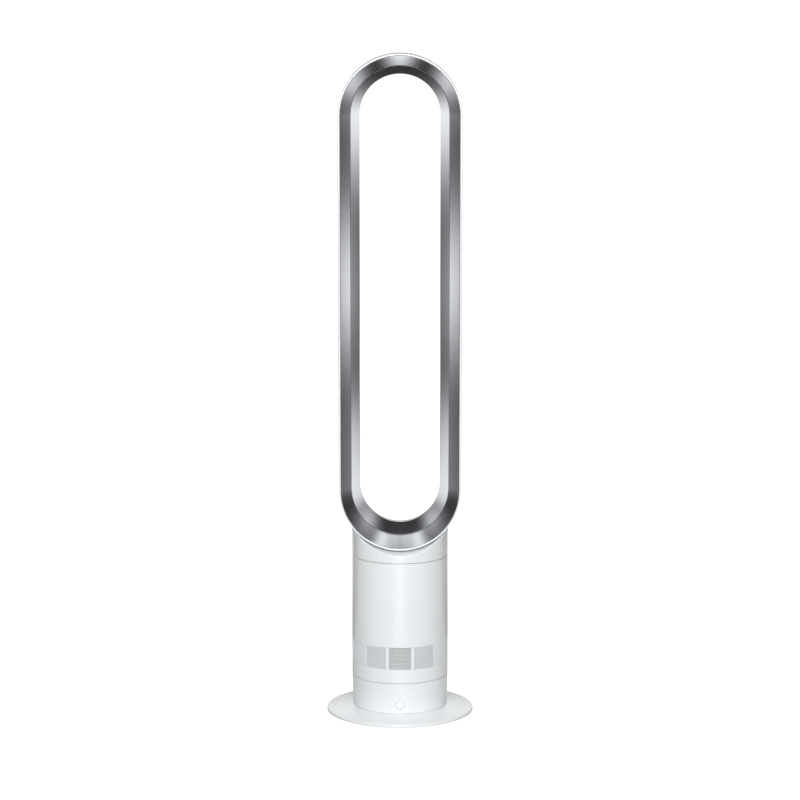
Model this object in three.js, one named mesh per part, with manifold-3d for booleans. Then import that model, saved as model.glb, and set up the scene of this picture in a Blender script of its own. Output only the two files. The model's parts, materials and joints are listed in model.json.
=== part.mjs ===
// Tower fan with an open loop nozzle on a round column.
// Millimetres, +Z up, front towards -Y, origin on the floor under the middle of the foot.
import * as THREE from 'three';
import { mergeVertices } from 'three/addons/utils/BufferGeometryUtils.js';
import Module from 'manifold-3d';

const wasm = await Module();
wasm.setup();

// ---------- overall sizes ----------
const HEIGHT = 1007;
const FOOT_RADIUS = 112.6;
const COLUMN_RADIUS = 73.6;
const LOOP_RADIUS = 93.3;

// ---------- levels on the column ----------
const FOOT_LINE = 11;
const SWIVEL_SEAM = 58.4;
const INLET_LOW = 80.6;
const INLET_HIGH = 114.5;
const COLLAR_SEAM = 244.3;
const LOOP_REST = 12.4;    // lowest point of the loop above the collar seam
const SEAM = 0.3;          // half of each visible seam
const LOOP_LOW_CENTRE = COLLAR_SEAM + LOOP_REST + LOOP_RADIUS;
const LOOP_HIGH_CENTRE = HEIGHT - LOOP_RADIUS;

// ---------- walls and clearances ----------
const WALL = 2.6;
const GAP = 0.3;           // between neighbours that are fixed together
const RUN = 1;             // between neighbours that turn past each other
const INNER_RADIUS = COLUMN_RADIUS - WALL;

// ---------- steps around a circle ----------
const FINE = 48;
const MEDIUM = 28;
const SMALL = 16;
const TINY = 8;

// ---------- screws ----------
const SCREW = { shaft: 1.4, head: 3, headHeight: 1.6, hole: 1.9, pilot: 1.8 };

// ---------- deck, track and turntable, stacked down from the swivel seam ----------
const POST = { bore: 6.5, radius: 10 };
const DECK_THICKNESS = 3;
const TABLE_THICKNESS = 5.7;
const TRACK_WIDTH = 5;
const DECK_SCREWS = { radius: COLUMN_RADIUS - 11.6, angles: [45, 135, 225, 315] };
const TRACK_OUTER = DECK_SCREWS.radius - SCREW.head - 4.5;
const TRACK_INNER = TRACK_OUTER - TRACK_WIDTH;

// ---------- swivel gears: the pair fills the room inside the track, two to one ----------
const GEAR = { module: 1.5, ratio: 2, width: 5, backlash: 0.25, clearance: 3 };
const PINION_ROOM = (TRACK_INNER - GEAR.clearance) / GEAR.module - 1;
const PINION_TEETH = Math.floor(PINION_ROOM / GEAR.ratio + 0.001);
const GEAR_TEETH = GEAR.ratio * PINION_TEETH;
const GEAR_CENTRES = GEAR.module * (GEAR_TEETH + PINION_TEETH) / 2;
const GEAR_HIGH = SWIVEL_SEAM - 0.4 - TABLE_THICKNESS - GAP;
const GEAR_LOW = GEAR_HIGH - GEAR.width;
const DECK_HIGH = GEAR_LOW - 2;
const DECK_LOW = DECK_HIGH - DECK_THICKNESS;

const BUTTON = { radius: 6.6, level: 25, clearance: 0.4, travel: 1.2 };

// ---------- air path ----------
const FOAM_DEPTH = 10;
const CASING_RADIUS = INNER_RADIUS - FOAM_DEPTH;   // outside of the fan casing
const CASING_WALL = 2.2;
const DUCT_RADIUS = 25;
const DUCT_SHIFT = 6;      // the loop is deeper behind the axis than in front

const finishes = {
  white: { color: 0xf2f2f2, roughness: 0.32, metalness: 0 },
  silver: { color: 0xb9bcc4, roughness: 0.34, metalness: 0.85 },
  steel: { color: 0x8d9094, roughness: 0.45, metalness: 1 },
  bright: { color: 0xc9ccd0, roughness: 0.28, metalness: 1 },
  dark: { color: 0x2b2c2f, roughness: 0.55, metalness: 0 },
  grey: { color: 0x8a8d90, roughness: 0.5, metalness: 0 },
  rubber: { color: 0x1d1d1e, roughness: 0.9, metalness: 0 },
  board: { color: 0x1f5a36, roughness: 0.5, metalness: 0 },
  copper: { color: 0xa8632f, roughness: 0.35, metalness: 0.9 },
  foam: { color: 0x3a3b3d, roughness: 0.98, metalness: 0 },
  natural: { color: 0xe6e2d6, roughness: 0.55, metalness: 0 },
};

// ---------- assemblies ----------
const fan = new THREE.Group();
fan.name = 'tower_fan';

function assembly(name, parent) {
  const group = new THREE.Group();
  group.name = name;
  parent.add(group);
  return group;
}

const base = assembly('base_unit', fan);
const upper = assembly('upper_unit', fan);
const airMover = assembly('air_mover', upper);
const loop = assembly('loop_nozzle', upper);

// ---------- general shapes ----------
function signedVolume(geometry) {
  const position = geometry.getAttribute('position');
  const index = geometry.index;
  const a = new THREE.Vector3();
  const b = new THREE.Vector3();
  const c = new THREE.Vector3();
  let sum = 0;
  for (let i = 0; i < index.count; i += 3) {
    a.fromBufferAttribute(position, index.getX(i));
    b.fromBufferAttribute(position, index.getX(i + 1));
    c.fromBufferAttribute(position, index.getX(i + 2));
    sum += a.dot(b.cross(c));
  }
  return sum / 6;
}

// Bare, welded copy of a geometry with every face turned outwards.
function welded(geometry) {
  const bare = geometry.clone();
  bare.deleteAttribute('normal');
  bare.deleteAttribute('uv');
  const merged = mergeVertices(bare, 1e-4);
  const kept = [];
  for (let i = 0; i < merged.index.count; i += 3) {
    const face = [0, 1, 2].map((k) => merged.index.getX(i + k));
    if (new Set(face).size === 3) kept.push(face);
  }
  merged.setIndex(kept.flat());
  if (signedVolume(merged) < 0) merged.setIndex(kept.map(([a, b, c]) => [a, c, b]).flat());
  return merged;
}

function solid(geometry) {
  const clean = welded(geometry);
  return new wasm.Manifold(new wasm.Mesh({
    numProp: 3,
    vertProperties: new Float32Array(clean.getAttribute('position').array),
    triVerts: new Uint32Array(clean.index.array),
  }));
}

function shape(manifold) {
  const mesh = manifold.getMesh();
  const geometry = new THREE.BufferGeometry();
  geometry.setAttribute('position', new THREE.BufferAttribute(new Float32Array(mesh.vertProperties), 3));
  geometry.setIndex(new THREE.BufferAttribute(new Uint32Array(mesh.triVerts), 1));
  return geometry;
}

function cut(body, ...tools) {
  const result = tools.reduce((rest, tool) => rest.subtract(solid(tool)), solid(body));
  return shape(result);
}

function join(body, ...extras) {
  const result = extras.reduce((whole, extra) => whole.add(solid(extra)), solid(body));
  return shape(result);
}

function common(body, other) {
  return shape(solid(body).intersect(solid(other)));
}

function addPiece(parent, name, geometry, finish, place = [0, 0, 0]) {
  const clean = welded(geometry);
  clean.computeVertexNormals();
  const material = new THREE.MeshStandardMaterial(finishes[finish]);
  material.name = finish;
  const mesh = new THREE.Mesh(clean, material);
  mesh.name = name;
  mesh.position.set(...place);
  parent.add(mesh);
}

// Turned part about Z. A profile off the axis is closed into a ring.
function turned(profile, segments = MEDIUM) {
  const points = profile.map(([r, z]) => new THREE.Vector2(r, z));
  const onAxis = profile[0][0] === 0 && profile.at(-1)[0] === 0;
  if (!onAxis) points.push(points[0].clone());
  return new THREE.LatheGeometry(points, segments).rotateX(Math.PI / 2);
}

function ring(inner, outer, low, high, segments = MEDIUM) {
  return turned([[inner, low], [outer, low], [outer, high], [inner, high]], segments);
}

function rod(radius, low, high, segments = SMALL) {
  return turned([[0, low], [radius, low], [radius, high], [0, high]], segments);
}

// Rod along Y between two depths.
function rodY(radius, front, back, segments = SMALL) {
  return rod(radius, front, back, segments).rotateX(-Math.PI / 2);
}

function block(width, depth, height, x, y, z) {
  return new THREE.BoxGeometry(width, depth, height).translate(x, y, z);
}

function polar(radius, degrees) {
  const angle = THREE.MathUtils.degToRad(degrees);
  return [radius * Math.cos(angle), radius * Math.sin(angle)];
}

function placed(geometry, radius, degrees) {
  const [x, y] = polar(radius, degrees);
  return geometry.clone().translate(x, y, 0);
}

function meshFromGrid(rows, closedRows) {
  const width = rows[0].length;
  const geometry = new THREE.BufferGeometry();
  geometry.setAttribute('position', new THREE.Float32BufferAttribute(rows.flat(2), 3));
  const index = [];
  const last = closedRows ? rows.length : rows.length - 1;
  for (let i = 0; i < last; i += 1) {
    const next = (i + 1) % rows.length;
    for (let j = 0; j < width; j += 1) {
      const side = (j + 1) % width;
      const [a, b] = [i * width + j, i * width + side];
      const [c, d] = [next * width + side, next * width + j];
      index.push(a, b, c, a, c, d);
    }
  }
  if (!closedRows) {
    const start = (rows.length - 1) * width;
    for (let j = 1; j < width - 1; j += 1) {
      index.push(0, j + 1, j);
      index.push(start, start + j, start + j + 1);
    }
  }
  geometry.setIndex(index);
  return geometry;
}

// ---------- loop sweep ----------
// Every station has a foot point on the centre line and an outward direction.
function loopStations(arcSteps) {
  const stations = [];
  for (let i = 0; i <= arcSteps; i += 1) {
    const angle = Math.PI * i / arcSteps;
    stations.push([LOOP_HIGH_CENTRE, Math.cos(angle), Math.sin(angle)]);
  }
  for (let i = 0; i <= arcSteps; i += 1) {
    const angle = Math.PI + Math.PI * i / arcSteps;
    stations.push([LOOP_LOW_CENTRE, Math.cos(angle), Math.sin(angle)]);
  }
  return stations;
}

// Closed section [inset from the outside of the loop, depth], carried round the loop.
function loopSweep(section, arcSteps = SMALL) {
  const rows = loopStations(arcSteps).map(([centre, nx, nz]) => section.map(([inset, y]) => {
    const reach = LOOP_RADIUS - inset;
    return [reach * nx, y, centre + reach * nz];
  }));
  return meshFromGrid(rows, true);
}

// Solid stadium block with the loop's outline grown by a margin.
function loopBlock(margin, front, back, arcSteps = MEDIUM) {
  const corners = loopStations(arcSteps).map(([centre, nx, nz]) => {
    const reach = LOOP_RADIUS + margin;
    return [reach * nx, centre + reach * nz];
  });
  const rows = [front, back].map((y) => corners.map(([x, z]) => [x, y, z]));
  return meshFromGrid(rows, false);
}

// Height of the loop's underside, grown by a margin, at a distance from the middle.
function loopUnderside(x, margin) {
  return LOOP_LOW_CENTRE - Math.sqrt((LOOP_RADIUS + margin) ** 2 - x ** 2);
}

// ---------- screws ----------
// Screw with its head below, driven upwards.
function screwUp(headLow, tip) {
  const headHigh = headLow + SCREW.headHeight;
  return turned([
    [0, headLow],
    [SCREW.head, headLow],
    [SCREW.head, headHigh],
    [SCREW.shaft, headHigh],
    [SCREW.shaft, tip],
    [0, tip],
  ], TINY);
}

// Screw with its head on top, driven downwards.
function screwDown(headLow, tip) {
  const headHigh = headLow + SCREW.headHeight;
  return turned([
    [0, tip],
    [SCREW.shaft, tip],
    [SCREW.shaft, headLow],
    [SCREW.head, headLow],
    [SCREW.head, headHigh],
    [0, headHigh],
  ], TINY);
}

function addScrews(parent, name, geometry, { radius, angles }) {
  angles.forEach((angle, i) => {
    addPiece(parent, `${name}_${i + 1}`, geometry, 'bright', [...polar(radius, angle), 0]);
  });
}

// ---------- foot ----------
const FOOT = { rimTop: 5, rimLow: 0.8, cover: 1.8, bore: 30 };
const PAD = { count: 4, radius: 7, high: 1.6, inset: 21 };
const WEIGHT = { low: 1.9, margin: 12, drop: 0.5 };
const BASE_SCREWS = { radius: COLUMN_RADIUS - 11.6, angles: [0, 90, 180], headLow: 2.4 };
const HOUSING = { taper: 1.3, flange: 3, flangeWidth: 16 };
const HOUSING_LOW = FOOT_LINE + GAP;
const HOUSING_HIGH = SWIVEL_SEAM - SEAM;

// Top of the foot disc at a distance from the axis.
function footTop(radius) {
  const share = (radius - COLUMN_RADIUS) / (FOOT_RADIUS - COLUMN_RADIUS);
  return FOOT_LINE - Math.max(share, 0) * (FOOT_LINE - FOOT.rimTop);
}

function footDisc() {
  const skirt = FOOT_RADIUS - FOOT.cover;
  const body = turned([
    [FOOT.bore, FOOT_LINE - FOOT.cover],
    [COLUMN_RADIUS, FOOT_LINE - FOOT.cover],
    [skirt, footTop(skirt) - FOOT.cover],
    [skirt, FOOT.rimLow],
    [FOOT_RADIUS - 0.6, FOOT.rimLow],
    [FOOT_RADIUS, FOOT.rimLow + 0.9],
    [FOOT_RADIUS, FOOT.rimTop - 1.4],
    [FOOT_RADIUS - 0.5, FOOT.rimTop - 0.5],
    [FOOT_RADIUS - 1.8, footTop(FOOT_RADIUS - 1.8)],
    [COLUMN_RADIUS, FOOT_LINE],
    [FOOT.bore, FOOT_LINE],
  ], FINE);
  const hole = rod(SCREW.hole, 0, FOOT_LINE + 1, TINY);
  return cut(body, ...BASE_SCREWS.angles.map((angle) => placed(hole, BASE_SCREWS.radius, angle)));
}

function footWeight() {
  const edge = FOOT_RADIUS - WEIGHT.margin;
  const under = FOOT.cover + WEIGHT.drop;
  const body = turned([
    [0, WEIGHT.low],
    [edge, WEIGHT.low],
    [edge, footTop(edge) - under],
    [COLUMN_RADIUS, FOOT_LINE - under],
    [0, FOOT_LINE - under],
  ], MEDIUM);
  const hole = rod(SCREW.hole, 0, FOOT_LINE, TINY);
  const recess = rod(SCREW.head + GAP, 0, BASE_SCREWS.headLow + SCREW.headHeight + GAP, TINY);
  const holes = BASE_SCREWS.angles.flatMap((angle) => [
    placed(hole, BASE_SCREWS.radius, angle),
    placed(recess, BASE_SCREWS.radius, angle),
  ]);
  return cut(body, ...holes);
}

addPiece(base, 'foot_disc', footDisc(), 'white');
addPiece(base, 'foot_weight', footWeight(), 'steel');
for (let i = 0; i < PAD.count; i += 1) {
  const pad = turned([
    [0, 0],
    [PAD.radius - 0.6, 0],
    [PAD.radius, 0.6],
    [PAD.radius, PAD.high],
    [0, PAD.high],
  ], SMALL);
  const angle = 45 + 360 * i / PAD.count;
  addPiece(base, `foot_pad_${i + 1}`, pad, 'rubber', [...polar(FOOT_RADIUS - PAD.inset, angle), 0]);
}
addScrews(base, 'base_screw', screwUp(BASE_SCREWS.headLow, FOOT_LINE + 7), BASE_SCREWS);

// ---------- fixed lower housing ----------
const SOCKET = { width: 20, height: 12, level: 25, face: COLUMN_RADIUS - 1.8, depth: 9 };

function housingRadius(level) {
  const share = (HOUSING_HIGH - level) / (HOUSING_HIGH - HOUSING_LOW);
  return COLUMN_RADIUS - HOUSING.taper * share;
}

function housingOutside() {
  return turned([
    [0, HOUSING_LOW],
    [housingRadius(HOUSING_LOW), HOUSING_LOW],
    [housingRadius(HOUSING_HIGH), HOUSING_HIGH],
    [0, HOUSING_HIGH],
  ], FINE);
}

function housing() {
  const floor = HOUSING_LOW + HOUSING.flange;
  const body = turned([
    [COLUMN_RADIUS - HOUSING.flangeWidth, HOUSING_LOW],
    [housingRadius(HOUSING_LOW), HOUSING_LOW],
    [housingRadius(HOUSING_HIGH), HOUSING_HIGH],
    [housingRadius(HOUSING_HIGH) - WALL, HOUSING_HIGH],
    [housingRadius(floor) - WALL, floor],
    [COLUMN_RADIUS - HOUSING.flangeWidth, floor],
  ], FINE);
  const boss = rod(4.5, floor - 1, DECK_LOW - GAP, TINY);
  const bosses = DECK_SCREWS.angles.map((angle) => placed(boss, DECK_SCREWS.radius, angle));
  const pilot = rod(SCREW.pilot, DECK_LOW - 12, DECK_LOW + 1, TINY);
  const pilots = DECK_SCREWS.angles.map((angle) => placed(pilot, DECK_SCREWS.radius, angle));
  const hole = rod(SCREW.pilot, 0, floor + 1, TINY);
  const holes = BASE_SCREWS.angles.map((angle) => placed(hole, BASE_SCREWS.radius, angle));
  const window = rodY(BUTTON.radius + BUTTON.clearance, -COLUMN_RADIUS - 5, -COLUMN_RADIUS + 12, MEDIUM)
    .translate(0, 0, BUTTON.level);
  const port = block(
    SOCKET.width + 2 * GAP, 20, SOCKET.height + 2 * GAP, 0, COLUMN_RADIUS, SOCKET.level);
  return cut(join(body, ...bosses), ...pilots, ...holes, window, port);
}

function pivotDeck() {
  const body = turned([
    [POST.bore, DECK_LOW],
    [INNER_RADIUS - 2.4, DECK_LOW],
    [INNER_RADIUS - 2.4, DECK_HIGH],
    [POST.radius, DECK_HIGH],
    [POST.radius, SWIVEL_SEAM + 10],
    [POST.bore, SWIVEL_SEAM + 10],
  ]);
  const hole = rod(SCREW.hole, DECK_LOW - 1, DECK_HIGH + 1, TINY);
  const holes = DECK_SCREWS.angles.map((angle) => placed(hole, DECK_SCREWS.radius, angle));
  const shaftHole = rod(5, DECK_LOW - 1, DECK_HIGH + 1).translate(0, GEAR_CENTRES, 0);
  return cut(body, ...holes, shaftHole);
}

addPiece(base, 'control_housing', housing(), 'white');
addPiece(base, 'pivot_deck', pivotDeck(), 'grey');
addScrews(base, 'deck_screw', screwDown(DECK_HIGH + GAP, DECK_LOW - 10), DECK_SCREWS);

// ---------- power button and what stands behind it ----------
const FACE = housingRadius(BUTTON.level);
const INSIDE = FACE - WALL;
const BOARD = { width: 46, thickness: 1.6, low: HOUSING_LOW + 3.7, high: DECK_LOW - 3, front: INSIDE - 11.4 };

function powerButton() {
  const cap = common(
    rodY(BUTTON.radius, -COLUMN_RADIUS - 5, -INSIDE + 1.2, MEDIUM).translate(0, 0, BUTTON.level),
    housingOutside(),
  );
  const flange = rodY(8.4, -INSIDE + 0.9, -INSIDE + 2.6).translate(0, 0, BUTTON.level);
  const stem = rodY(2.4, -INSIDE + 2, -INSIDE + 6.6, TINY).translate(0, 0, BUTTON.level);
  return join(cap, flange, stem);
}

function tubeY(inner, outer, front, back) {
  return ring(inner, outer, front, back, SMALL).rotateX(-Math.PI / 2).translate(0, 0, BUTTON.level);
}

function tactSwitch() {
  const body = block(6, 2.2, 6, 0, -BOARD.front - GAP - 1.1, BUTTON.level);
  const plunger = rodY(1.7, -INSIDE + 8.1, -BOARD.front - 1, TINY).translate(0, 0, BUTTON.level);
  return join(body, plunger);
}

function controlBoard() {
  const height = BOARD.high - BOARD.low;
  const depth = -BOARD.front + BOARD.thickness / 2;
  return block(BOARD.width, BOARD.thickness, height, 0, depth, BOARD.low + height / 2);
}

function irReceiver() {
  const body = block(5, 3, 6, 0, -BOARD.front - GAP - 1.5, 0);
  const lens = rodY(2, -BOARD.front - 5.5, -BOARD.front - 2, TINY);
  return join(body, lens).translate(17, 0, BUTTON.level);
}

addPiece(base, 'power_button', powerButton(), 'white');
addPiece(base, 'button_guide', tubeY(8.8, 10.4, -INSIDE + 1.6, -BOARD.front - GAP), 'grey');
addPiece(base, 'button_dome', tubeY(3.4, 5.6, -INSIDE + 4.4, -INSIDE + 8.6), 'rubber');
addPiece(base, 'tact_switch', tactSwitch(), 'dark');
addPiece(base, 'control_board', controlBoard(), 'board');
addPiece(base, 'display_module', block(20, 8, 5, 0, -BOARD.front - GAP - 4, BOARD.high - 0.8), 'dark');
addPiece(base, 'ir_receiver', irReceiver(), 'dark');

// ---------- power supply and socket ----------
function powerSocket() {
  const { width, height, level, face, depth } = SOCKET;
  const sleeve = block(width, depth + 3, height, 0, face - (depth + 3) / 2, level);
  const flange = block(width + 6, 2.4, height + 5, 0, face - 6.4, level);
  const pocket = [-4, 4].map((x) => rodY(3.6, face - depth, face + 1).translate(x, 0, level));
  const slot = block(8, depth + 1, 4.6, 0, face - depth / 2 + 0.5, level);
  const pins = [-4, 4].map((x) => rodY(1.1, face - depth - 1, face - 2, TINY).translate(x, 0, level));
  return join(cut(join(sleeve, flange), ...pocket, slot), ...pins);
}

// The supply board lies inside the housing's flange, its corners a clearance short of it.
const SUPPLY = { low: 18, thickness: 1.6, depth: 46, front: -(COLUMN_RADIUS - HOUSING.flangeWidth - 17.6) };
const SUPPLY_REACH = COLUMN_RADIUS - HOUSING.flangeWidth - 7;
const SUPPLY_HIGH = SUPPLY.low + SUPPLY.thickness + GAP;

function supplyBoard() {
  const width = 2 * Math.sqrt(SUPPLY_REACH ** 2 - SUPPLY.front ** 2);
  const middle = SUPPLY.front + SUPPLY.depth / 2;
  return block(width, SUPPLY.depth, SUPPLY.thickness, 0, middle, SUPPLY.low + SUPPLY.thickness / 2);
}

addPiece(base, 'power_socket', powerSocket(), 'dark');
addPiece(base, 'supply_board', supplyBoard(), 'board');
const SUPPLY_MIDDLE = SUPPLY.front + 22;
const supplyCapacitor = rod(7, SUPPLY_HIGH, SUPPLY_HIGH + 17).translate(-16, SUPPLY_MIDDLE, 0);
addPiece(base, 'supply_capacitor', supplyCapacitor, 'dark');
addPiece(base, 'supply_transformer', block(20, 20, 16, 10, SUPPLY_MIDDLE, SUPPLY_HIGH + 8), 'copper');

// ---------- swivel drive ----------
function involute(base, radius) {
  const pressure = Math.acos(base / radius);
  return Math.tan(pressure) - pressure;
}

// Outline of a spur gear with a tooth centred on the +X axis.
function gearOutline(teeth) {
  const pitch = GEAR.module * teeth / 2;
  const tip = pitch + GEAR.module;
  const root = pitch - 1.25 * GEAR.module;
  const base = pitch * Math.cos(THREE.MathUtils.degToRad(20));
  const half = (Math.PI / 2 - GEAR.backlash / GEAR.module) / teeth;
  const flank = [0, 0.5, 1].map((t) => {
    const radius = Math.max(root, base) + (tip - Math.max(root, base)) * t;
    return [radius, half + involute(base, pitch) - involute(base, radius)];
  });
  const start = [root, flank[0][1] + 0.2 / root];
  const side = [start, ...flank];
  const outline = [];
  for (let i = 0; i < teeth; i += 1) {
    const middle = 2 * Math.PI * i / teeth;
    side.forEach(([r, a]) => outline.push([r, middle - a]));
    [...side].reverse().forEach(([r, a]) => outline.push([r, middle + a]));
  }
  return outline.map(([r, a]) => new THREE.Vector2(r * Math.cos(a), r * Math.sin(a)));
}

function gearBlank(teeth, bore) {
  const outline = new THREE.Shape(gearOutline(teeth));
  if (bore > 0) {
    outline.holes.push(new THREE.Path().absarc(0, 0, bore, 0, 2 * Math.PI, true));
  }
  const settings = { depth: GEAR.width, bevelEnabled: false, curveSegments: 12 };
  return new THREE.ExtrudeGeometry(outline, settings).translate(0, 0, GEAR_LOW);
}

const MOTOR = { radius: 17.5, length: 18, shaft: 2.5 };
const MOTOR_HIGH = DECK_LOW - GAP;

function swivelMotor() {
  const body = rod(MOTOR.radius, MOTOR_HIGH - MOTOR.length, MOTOR_HIGH);
  const ears = block(2 * MOTOR.radius + 14, 7, 1.2, 0, 0, MOTOR_HIGH - 0.6);
  const bore = rod(MOTOR.shaft + GAP, MOTOR_HIGH - 8, MOTOR_HIGH + 1, TINY);
  return cut(join(body, ears), bore).translate(0, GEAR_CENTRES, 0);
}

// The gap of the pinion that faces the big gear is lined up with a tooth on +Y.
function swivelPinion() {
  const shaft = rod(MOTOR.shaft, MOTOR_HIGH - 7, GEAR_HIGH, TINY);
  const halfTooth = Math.PI / PINION_TEETH;
  const blank = gearBlank(PINION_TEETH, 0).rotateZ(-Math.PI / 2 + halfTooth);
  return join(blank, shaft).translate(0, GEAR_CENTRES, 0);
}

addPiece(base, 'swivel_motor', swivelMotor(), 'steel');
addPiece(base, 'swivel_pinion', swivelPinion(), 'natural');

// ---------- turntable ----------
const TABLE = { low: GEAR_HIGH + GAP, high: SWIVEL_SEAM - 0.4, bore: POST.radius + 0.6 };
const CLIP = { low: TABLE.high + RUN, thickness: 2.4, width: 5 };
const TABLE_SCREWS = { radius: COLUMN_RADIUS - 10.6, angles: [90, 210, 330] };

function turntable() {
  const trackLow = DECK_HIGH + GAP + 2 + GAP;
  const body = turned([
    [TABLE.bore, TABLE.low],
    [TRACK_INNER, TABLE.low],
    [TRACK_INNER, trackLow],
    [TRACK_OUTER, trackLow],
    [TRACK_OUTER, TABLE.low],
    [INNER_RADIUS - RUN - HOUSING.taper, TABLE.low],
    [INNER_RADIUS - RUN - HOUSING.taper, TABLE.high],
    [TABLE.bore, TABLE.high],
  ]);
  const hole = rod(SCREW.hole, TABLE.low - 1, TABLE.high + 1, TINY);
  return cut(body, ...TABLE_SCREWS.angles.map((angle) => placed(hole, TABLE_SCREWS.radius, angle)));
}

addPiece(base, 'glide_ring', ring(TRACK_INNER, TRACK_OUTER, DECK_HIGH + GAP, DECK_HIGH + GAP + 2), 'natural');
addPiece(upper, 'turntable', turntable(), 'grey');
addPiece(upper, 'swivel_gear', gearBlank(GEAR_TEETH, POST.radius + RUN).rotateZ(Math.PI / 2), 'natural');
addPiece(upper, 'pivot_clip', ring(
  POST.radius + GAP,
  POST.radius + CLIP.width,
  CLIP.low,
  CLIP.low + CLIP.thickness,
  SMALL,
), 'steel');
addScrews(upper, 'table_screw', screwUp(TABLE.low - GAP - SCREW.headHeight, SWIVEL_SEAM + 4.6), TABLE_SCREWS);

// ---------- column shell with the air inlet ----------
const SHELL_LOW = SWIVEL_SEAM + SEAM;
const SHELL_HIGH = COLLAR_SEAM - SEAM;
const INLET = { panels: 12, slots: 3, slotWidth: 9, pitch: 11.6 };

function inletSlots() {
  const height = INLET_HIGH - INLET_LOW;
  const slot = block(2 * WALL + 8, INLET.slotWidth, height, COLUMN_RADIUS - WALL / 2, 0, 0)
    .translate(0, 0, INLET_LOW + height / 2);
  const slots = [];
  for (let panel = 0; panel < INLET.panels; panel += 1) {
    const middle = 2 * Math.PI * panel / INLET.panels + Math.PI / 2;
    for (let i = 0; i < INLET.slots; i += 1) {
      const shift = (i - (INLET.slots - 1) / 2) * INLET.pitch / COLUMN_RADIUS;
      slots.push(slot.clone().rotateZ(middle + shift));
    }
  }
  return slots;
}

function columnShell() {
  const flange = SHELL_LOW + 3;
  const body = turned([
    [TABLE_SCREWS.radius - 5, SHELL_LOW],
    [COLUMN_RADIUS, SHELL_LOW],
    [COLUMN_RADIUS, SHELL_HIGH],
    [INNER_RADIUS, SHELL_HIGH],
    [INNER_RADIUS, flange],
    [TABLE_SCREWS.radius - 5, flange],
  ], FINE);
  const hole = rod(SCREW.pilot, SHELL_LOW - 1, flange + 1, TINY);
  const holes = TABLE_SCREWS.angles.map((angle) => placed(hole, TABLE_SCREWS.radius, angle));
  return cut(body, ...holes, ...inletSlots());
}

addPiece(upper, 'column_shell', columnShell(), 'white');

// ---------- fan unit ----------
const FAN = { low: INLET_HIGH + 4, wheel: 22, eye: 40, blades: 9, vanes: 8, tipGap: 0.8 };
const WHEEL_LOW = FAN.low + 13;
const WHEEL_HIGH = WHEEL_LOW + FAN.wheel;
const CASING_HIGH = WHEEL_HIGH + 58;
const CASING_INNER = CASING_RADIUS - CASING_WALL;
const BUCKET = CASING_INNER - 14;           // outside of the motor bucket
const SHAFT = { radius: 2.5, bore: 2.8 };
const STATOR_RADIUS = BUCKET - 16.8;
const ROTOR = { radius: 0.44 * STATOR_RADIUS, low: WHEEL_HIGH + 12, high: WHEEL_HIGH + 34 };

function inletCone() {
  const edge = INNER_RADIUS - GAP;
  return turned([
    [edge, FAN.low],
    [edge, FAN.low + 2],
    [FAN.eye + 12, FAN.low + 2.5],
    [FAN.eye + 5, FAN.low + 6],
    [FAN.eye + 1.6, FAN.low + 12],
    [FAN.eye, FAN.low + 12],
    [FAN.eye + 3.4, FAN.low + 5],
    [FAN.eye + 11, FAN.low],
  ]);
}

function fanCasing() {
  return turned([
    [FAN.eye + 1.2, FAN.low + 12.6],
    [CASING_INNER - 1, WHEEL_HIGH + 1],
    [CASING_INNER, WHEEL_HIGH + 8],
    [CASING_INNER, CASING_HIGH],
    [CASING_RADIUS, CASING_HIGH],
    [CASING_RADIUS, WHEEL_HIGH + 7],
    [CASING_RADIUS - 1, WHEEL_HIGH],
    [FAN.eye + 3.6, FAN.low + 12.6],
  ]);
}

// Blade lofted between a hub line and a tip line: [hub radius, tip radius, level, angle].
function blade(stations, thickness) {
  const rows = stations.map(([hub, tip, level, degrees]) => {
    const angle = THREE.MathUtils.degToRad(degrees);
    const [c, s] = [Math.cos(angle), Math.sin(angle)];
    const half = thickness / 2;
    return [[hub, -half], [tip, -half], [tip, half], [hub, half]]
      .map(([r, t]) => [r * c - t * s, r * s + t * c, level]);
  });
  return meshFromGrid(rows, false);
}

function around(geometry, count) {
  return Array.from({ length: count }, (_, i) => geometry.clone().rotateZ(2 * Math.PI * i / count));
}

// Tip radius of the wheel inside the casing cone at a level.
function tipRadius(level) {
  const share = (level - FAN.low - 12.6) / (WHEEL_HIGH + 1 - FAN.low - 12.6);
  return FAN.eye + 1.2 + share * (CASING_INNER - FAN.eye - 2.2) - FAN.tipGap;
}

function impeller() {
  const hubTop = BUCKET - 1;
  const hub = turned([
    [SHAFT.bore, WHEEL_LOW],
    [9, WHEEL_LOW],
    [14, WHEEL_LOW + 5],
    [23, WHEEL_LOW + 12],
    [hubTop - 4, WHEEL_HIGH - 2],
    [hubTop, WHEEL_HIGH],
    [hubTop - 4, WHEEL_HIGH],
    [20, WHEEL_HIGH - 7],
    [9, WHEEL_HIGH - 8],
    [9, WHEEL_HIGH - 2],
    [SHAFT.bore, WHEEL_HIGH - 2],
  ], SMALL);
  const steps = [[8, 0, 0], [12, 5, -16], [20, 11, -32], [hubTop - 7, 18, -46], [hubTop - 3, 21.2, -54]];
  const stations = steps.map(([r, rise, turn]) => {
    const level = WHEEL_LOW + 0.6 + rise;
    return [r, tipRadius(level), level, turn];
  });
  return join(hub, ...around(blade(stations, 1.5), FAN.blades));
}

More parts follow.
